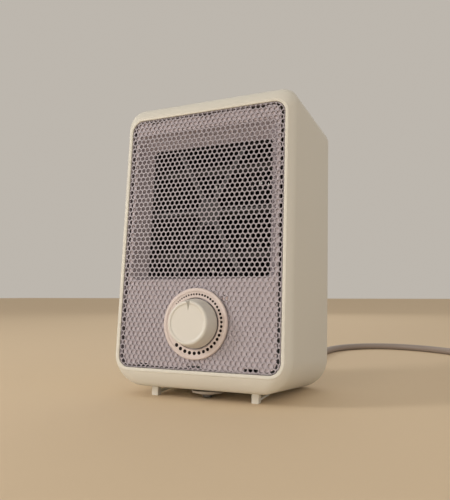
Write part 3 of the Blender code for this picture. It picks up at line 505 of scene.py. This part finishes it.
# ---- perforated front sheet --------------------------------------------------------------
# The sheet was cut a little off square to its punched pattern, so the rows run SHEET_TURN
# off level and the holes at the edges are cut through.
HOLE_R, HOLE_N = 1.68, 12
PITCH = 4.02
ROW = PITCH * math.sqrt(3) / 2
SHEET_TURN = math.radians(-0.82)
SHEET_FROM = (-1.42, 97.58)          # a hole's middle
SHEET_FRONT, SHEET_BACK = 0.4, 1.0
SHEET_EDGE = 0.45
DIAL_HOLE_R = 21.3
APOTHEM = HOLE_R * math.cos(math.pi / HOLE_N)


def sheet_outline(d):
    return rrect(OPEN_HX - d, OPEN_Z0 + d, OPEN_Z1 - d, OPEN_R - d, OPEN_R - d, 10)


def inside(x, z, d):
    """How far a point is inside the sheet's outline inset by d."""
    hx, z0, z1, r = OPEN_HX - d, OPEN_Z0 + d, OPEN_Z1 - d, OPEN_R - d
    qx, qz = abs(x) - (hx - r), abs(z - (z0 + z1) / 2) - ((z1 - z0) / 2 - r)
    return r - math.hypot(max(qx, 0), max(qz, 0)) - min(max(qx, qz), 0)


def off_dial(x, z):
    """How far a point is outside the sheet's hole for the dial."""
    return math.hypot(x, z - DIAL_Z) - DIAL_HOLE_R


turn_c, turn_s = math.cos(SHEET_TURN), math.sin(SHEET_TURN)
centres = []
for k in range(-31, 32):
    for j in range(-20, 21):
        u, v = PITCH * (j + 0.5 * (k % 2)), ROW * k
        x, z = SHEET_FROM[0] + u * turn_c - v * turn_s, SHEET_FROM[1] + u * turn_s + v * turn_c
        if inside(x, z, SHEET_EDGE) > 0.35 - HOLE_R and off_dial(x, z) > HOLE_R + 0.4:
            centres.append((x, z))
tree = KDTree(len(centres))
for i, (x, z) in enumerate(centres):
    tree.insert((x, z, 0), i)
tree.balance()


def in_hole(x, z):
    """Whether a point is inside the outline of a hole."""
    near, _, far = tree.find((x, z, 0))
    step = 2 * math.pi / HOLE_N
    off = (math.atan2(z - near[1], x - near[0]) + step / 2) % step - step / 2
    return far * math.cos(off) < APOTHEM - 1e-4


dial_hole = [(DIAL_HOLE_R * math.cos(math.radians(5 * k)),
              DIAL_Z + DIAL_HOLE_R * math.sin(math.radians(5 * k)))
             for k in range(72)]
outlines = [sheet_outline(SHEET_EDGE), dial_hole]
rays = [(HOLE_R * math.cos((k + 0.5) * 2 * math.pi / HOLE_N),
         HOLE_R * math.sin((k + 0.5) * 2 * math.pi / HOLE_N))
        for k in range(HOLE_N)]
outlines += [[(x + dx, z + dz) for dx, dz in rays] for x, z in centres]
points, edges = [], []
for loop in outlines:
    start = len(points)
    points += [Vector(p) for p in loop]
    edges += [(start + i, start + (i + 1) % len(loop)) for i in range(len(loop))]
flat, _, tris, _, _, _ = delaunay_2d_cdt(points, edges, [], 0, 1e-6)
bm = bmesh.new()
front = [bm.verts.new((p[0] * MM, SHEET_FRONT * MM, p[1] * MM)) for p in flat]
rear = [bm.verts.new((p[0] * MM, SHEET_BACK * MM, p[1] * MM)) for p in flat]
kept = []
for t in tris:
    cx, cz = sum(flat[i][0] for i in t) / 3, sum(flat[i][1] for i in t) / 3
    if inside(cx, cz, SHEET_EDGE) > 0 and off_dial(cx, cz) > -0.02 and not in_hole(cx, cz):
        kept.append(tuple(t))
        bm.faces.new([front[i] for i in t])
        bm.faces.new([rear[i] for i in reversed(t)])
sides = {(t[i], t[(i + 1) % 3]) for t in kept for i in range(3)}
for a, b in sorted(sides):
    if (b, a) not in sides:
        bm.faces.new((front[b], front[a], rear[a], rear[b]))
bmesh.ops.delete(bm, geom=[v for v in bm.verts if not v.link_faces], context="VERTS")
# the fold round the sheet's edge, which lies inside the rim
skirt = [[bm.verts.new((x * MM, y * MM, z * MM)) for x, z in sheet_outline(d)]
         for d, y in ((0.52, 0.4), (0.40, 0.45), (0.32, 0.6), (0.30, 0.8), (0.30, 5.0), (1.1, 5.0),
                      (1.1, 1.0), (0.52, 1.0))]
for a, b in zip(skirt, skirt[1:] + skirt[:1]):
    for i in range(len(a)):
        bm.faces.new((a[i], a[(i + 1) % len(a)], b[(i + 1) % len(b)], b[i]))
bmesh.ops.recalc_face_normals(bm, faces=bm.faces)
add("perforated_sheet", bm, lilac_paint, replaces=("mesh_grille",), sharp=40)

# ---- dial ring, its scale of growing dots, knob -------------------------------------------
ring_profile = [(RING_R, 0.0), (RING_R, -1.0)] + arc(RING_R - 0.9, -1.1, 0.9, 0, -90, 6)
ring_profile += arc(RING_R - 2.2, -1.4, 0.6, -90, -150, 4)
ring_profile += [(RING_R - 3.1, -1.52), (RING_IN + 1.0, -1.5), (RING_IN + 0.4, -1.42), (RING_IN + 0.08, -1.2),
                 (RING_IN, -0.9), (RING_IN, 1.1), (20.9, 1.1), (20.9, 0.0)]
add("scale_ring", lathe(ring_profile, 128, (0, 0, DIAL_Z), closed=True), ring_cream,
    replaces=("dial_ring",))

DOT_R0, DOT_R1, SCALE_R = 0.45, 1.42, 21.3
SCALE_FROM, SCALE_TO, SCALE_SWEEP = -48.0, 223.5, 271.0    # degrees from twelve o'clock
DOT_GAP0, DOT_GAP_GROWTH = 1.85, 2.45                       # mm between dots
dots = bmesh.new()
a = SCALE_FROM
while a <= SCALE_TO:
    t = (a - SCALE_FROM) / SCALE_SWEEP
    size = DOT_R0 + (DOT_R1 - DOT_R0) * t ** 0.7
    th = math.radians(a)
    cx, cz = SCALE_R * math.sin(th), DIAL_Z + SCALE_R * math.cos(th)
    rings = []
    for rr, yy in ((size, -1.44), (size, -1.55), (size - 0.06, -1.58)):
        loop = [(cx + rr * math.cos(q * math.pi / 8), cz + rr * math.sin(q * math.pi / 8)) for q in range(16)]
        rings.append([dots.verts.new((x * MM, yy * MM, z * MM)) for x, z in loop])
    for u, v in zip(rings, rings[1:]):
        for q in range(16):
            dots.faces.new((u[q], u[(q + 1) % 16], v[(q + 1) % 16], v[q]))
    dots.faces.new(rings[-1])
    dots.faces.new(list(reversed(rings[0])))
    a += math.degrees((DOT_GAP0 + DOT_GAP_GROWTH * t) / SCALE_R)
bmesh.ops.recalc_face_normals(dots, faces=dots.faces)
add("scale_dots", dots, ink)

KNOB_SHARP = 42.0
side = (KNOB_R - KNOB_FACE_R - 0.55) / (KNOB_OUT - 1.5 - 3.2)
knob_profile = [(0, -0.9), (KNOB_R - 0.8, -0.9)] + arc(KNOB_R - 0.5, -1.4, 0.5, 90, 0, 4)[1:]
knob_profile += [(KNOB_R, -2.9), (KNOB_R - 0.06, -3.4)]
knob_profile += [(KNOB_R - 0.06 - side * (d - 3.4), -d) for d in (5, 7, 9, 11)]
knob_profile += [(KNOB_FACE_R + dr, -d) for dr, d in (
    (0.55, 12.0), (0.38, 12.55), (0.08, 13.02), (-0.35, 13.33), (-0.85, 13.48), (-1.35, 13.46), (-1.8, 13.3),
    (-2.15, 13.02), (-2.5, 12.86), (-3.2, 12.82))] + [(8, -12.76), (0, -12.7)]
knob = add("knob", lathe(knob_profile, 128, (0, 0, DIAL_Z)), knob_cream, body="dial",
           replaces=("control_knob",), sharp=KNOB_SHARP)
# the V pointer cut in the front rim at twelve o'clock
bm = bmesh.new()
notch = ((0, 12.6, 8.8), (-2.5, 14.6, 17.2), (2.5, 14.6, 17.2), (0, 8.9, 17.2), (-0.9, 14.6, 8.4),
         (0.9, 14.6, 8.4))
corner = [bm.verts.new((x * MM, -y * MM, (DIAL_Z + z) * MM)) for x, y, z in notch]
for face in ((1, 3, 2), (4, 0, 3, 1), (5, 2, 3, 0), (4, 5, 0), (4, 1, 2, 5)):
    bm.faces.new([corner[i] for i in face])
bmesh.ops.recalc_face_normals(bm, faces=bm.faces)
carve(knob, bm)
knob.data.shade_smooth()
knob.data.set_sharp_from_angle(angle=math.radians(KNOB_SHARP))


# ---- back cover and its screws -----------------------------------------------------------
def closed_spline(cu, points):
    sp = cu.splines.new("POLY")
    sp.points.add(len(points) - 1)
    for q, (x, z) in zip(sp.points, points):
        q.co = (x * MM, z * MM, 0, 1)
    sp.use_cyclic_u = True


EDGE = 0.3
cover_curve = bpy.data.curves.new("back_cover", "CURVE")
cover_curve.dimensions, cover_curve.fill_mode = "2D", "BOTH"
cover_curve.extrude, cover_curve.bevel_depth, cover_curve.bevel_resolution = 0.85 * MM, EDGE * MM, 2
cover_in = 9.7 + 0.3 + EDGE          # the sleeve's lip, a gap and the rounded edge
closed_spline(cover_curve, rrect(BODY_HX - cover_in, BODY_Z0 + cover_in, BODY_Z1 - cover_in,
                                 BODY_RT - cover_in, BODY_RB - cover_in, 12))
for row in range(11):
    for sx in (-1, 1):
        x, z, h = sx * 21.5, AXIS_Z - 45 + 9 * row, 1.9 + EDGE
        closed_spline(cover_curve, [(x + s * 17.1 + h * math.cos(math.radians(q)),
                                     z + h * math.sin(math.radians(q)))
                                    for s, q0 in ((1, -90), (-1, 90)) for q in range(q0, q0 + 181, 20)])
COVER_SCREWS = [(sx * x, z) for sx in (-1, 1) for x, z in ((58.0, 194.4), (55.4, 3.2))]
for x, z, r in [(x, z, 1.7) for x, z in COVER_SCREWS] + [(EXIT_X, EXIT_Z, 6.3)]:
    closed_spline(cover_curve, [(x + (r + EDGE) * math.cos(math.radians(15 * q)),
                                 z + (r + EDGE) * math.sin(math.radians(15 * q))) for q in range(24)])
shape = bpy.data.objects.new("back_cover_shape", cover_curve)
bpy.context.scene.collection.objects.link(shape)
bpy.context.view_layer.update()
flat_mesh = bpy.data.meshes.new_from_object(shape.evaluated_get(bpy.context.evaluated_depsgraph_get()))
bpy.data.objects.remove(shape)
bm = bmesh.new()
bm.from_mesh(flat_mesh)
bmesh.ops.remove_doubles(bm, verts=bm.verts, dist=1e-6)
bmesh.ops.rotate(bm, cent=(0, 0, 0), matrix=Matrix.Rotation(math.radians(90), 3, "X"), verts=bm.verts)
bmesh.ops.translate(bm, vec=(0, (DEPTH - 1.65) * MM, 0), verts=bm.verts)
bmesh.ops.recalc_face_normals(bm, faces=bm.faces)
add("back_cover", bm, cream, replaces=("rear_cover",))

for n, (x, z) in enumerate(COVER_SCREWS):
    head = [(0, DEPTH + 1.0)]
    head += [(2.95 * math.sin(math.radians(q)), DEPTH - 0.1 + 1.1 * math.cos(math.radians(q)))
             for q in range(12, 91, 13)]
    head += [(2.9, DEPTH - 0.45), (1.35, DEPTH - 0.45), (1.35, DEPTH - 5.4), (0, DEPTH - 5.9)]
    screw = add("back_screw_%d" % (n + 1), lathe(head, 40, (x, 0, z)), tin,
                replaces=("cover_screw_%d" % (n + 1),))
    turn = Matrix.Rotation(math.radians(20 + 37 * n), 3, "Y")
    for extra in (0, 90):
        cross = turn @ Matrix.Rotation(math.radians(extra), 3, "Y")
        carve(screw, block_of((3.2, 1.6, 0.75), (x, DEPTH + 0.9, z), cross))

# ---- tip-over plunger: stem and flange, with a foot under them painted dark as shade --------
plunger_z = PAD_Z - (PAD_Y - PLUNGER_Y) * math.tan(LEAN) + 0.22
stem = [(0, 15.6), (0.9, 15.4), (1.2, 14.9), (1.2, 13.0), (3.6, 13.0), (3.9, 12.7), (3.9, 5.5), (4.2, 5.2),
        (10.6, 5.2)]
stem += [(10.9 + 0.9 * math.cos(math.radians(a)), 4.3 + 0.9 * math.sin(math.radians(a)))
         for a in range(90, -61, -30)]
stem += [(9.0, 3.35), (5.6, 3.0), (4.6, 2.2), (0, 2.2)]
add("plunger", lathe([(r, plunger_z + z) for r, z in stem], 64, (0, PLUNGER_Y, 0), "Z"), grey_plastic,
    body="tip_button", replaces=("tip_plunger",))
# the foot is painted dark: painted shade where the plunger meets the table
tip = [(0, 2.2), (3.4, 2.2), (3.6, 1.9), (3.5, 0.9), (3.0, 0.42), (2.0, 0.16), (0, 0.05)]
add("plunger_foot", lathe([(r, plunger_z + z) for r, z in tip], 48, (0, PLUNGER_Y, 0), "Z"), rubber_and_painted_shade,
    body="tip_button")

# ---- finishes of the CAD nodes that stay ----------------------------------------------------
FINISH = {
    cream: ("foot_left", "foot_right"),
    # the inner panel's lilac is painted lighter to offset the sheet's shade on it
    lilac_painted_lighter: ("inner_panel",),
    dark: ("element_frame", "fan_duct", "fan_impeller", "motor_bracket", "cord_clamp", "clamp_base",
           "tip_switch_body"),
    guard_grey: ("element_guard",),
    # the core's near-black is painted shade inside the window
    core_painted_shade: ("heating_core",),
    ceramic: ("ceramic_stone_1", "ceramic_stone_2", "ceramic_stone_3"),
    tin: ("element_terminal_left", "element_terminal_right", "thermal_fuse", "motor_screw_left",
          "motor_screw_right",
          "thermostat_nut", "thermostat_shaft", "motor_shaft", "switch_lever", "bearing_strap"),
    brass: ("motor_bush_front", "motor_bush_rear", "plug_pin_earth", "plug_pin_live", "plug_pin_neutral"),
    steel_stack: ("motor_stator", "motor_rotor"),
    copper: ("motor_winding",),
    phenolic: ("thermostat_body",),
    cutout: ("thermal_cutout",),
    lens: ("indicator_lamp",),
    rubber_and_painted_shade: ("rear_pad_left", "rear_pad_right"),
    block: ("terminal_block",),
    brown: ("wire_live",),
    blue: ("wire_neutral",),
    white: ("wire_switch",),
}
for mat, names in FINISH.items():
    for name in names:
        nodes[name].data.materials.clear()
        nodes[name].data.materials.append(mat)

# ---- floor and light -------------------------------------------------------------------
floor_mesh = bpy.data.meshes.new("floor")
floor_mesh.from_pydata([(-9, -9, 0), (9, -9, 0), (9, 9, 0), (-9, 9, 0)], [], [(0, 1, 2, 3)])
floor = bpy.data.objects.new("floor", floor_mesh)
bpy.context.scene.collection.objects.link(floor)
floor.data.materials.append(surface("floor", (0.74, 0.59, 0.41), 0.8, grain=3.0, relief=0.03, mottle=0.015,
                                    specular=0.2))

world = bpy.data.worlds.new("studio")
bpy.context.scene.world = world
world.use_nodes = True
world.node_tree.nodes["Background"].inputs["Color"].default_value = (0.82, 0.76, 0.68, 1)
world.node_tree.nodes["Background"].inputs["Strength"].default_value = 0.62
bpy.context.scene.view_settings.view_transform = "Standard"


def softbox(name, at, aim, size, power, color=(1, 1, 1), spread=180):
    light = bpy.data.lights.new(name, "AREA")
    light.shape, light.size, light.energy, light.color = "DISK", size, power, color
    light.spread = math.radians(spread)
    ob = bpy.data.objects.new(name, light)
    bpy.context.scene.collection.objects.link(ob)
    ob.location = at
    ob.rotation_euler = (Vector(aim) - Vector(at)).to_track_quat("-Z", "Y").to_euler()


softbox("key", (-1.25, -0.95, 0.68), (0, 0, 0.1), 0.40, 10.5, (1.0, 0.975, 0.94))
softbox("low", (-0.3, -2.0, 0.30), (0, 0, 0.03), 0.5, 0.52, (1.0, 0.92, 0.82), 40)
softbox("fill", (1.45, -0.05, 0.40), (0, 0, 0.1), 1.0, 2.6, (0.97, 0.98, 1.0))
softbox("rear", (-0.4, 1.4, 0.9), (0, 0, 0.1), 1.2, 2.0)
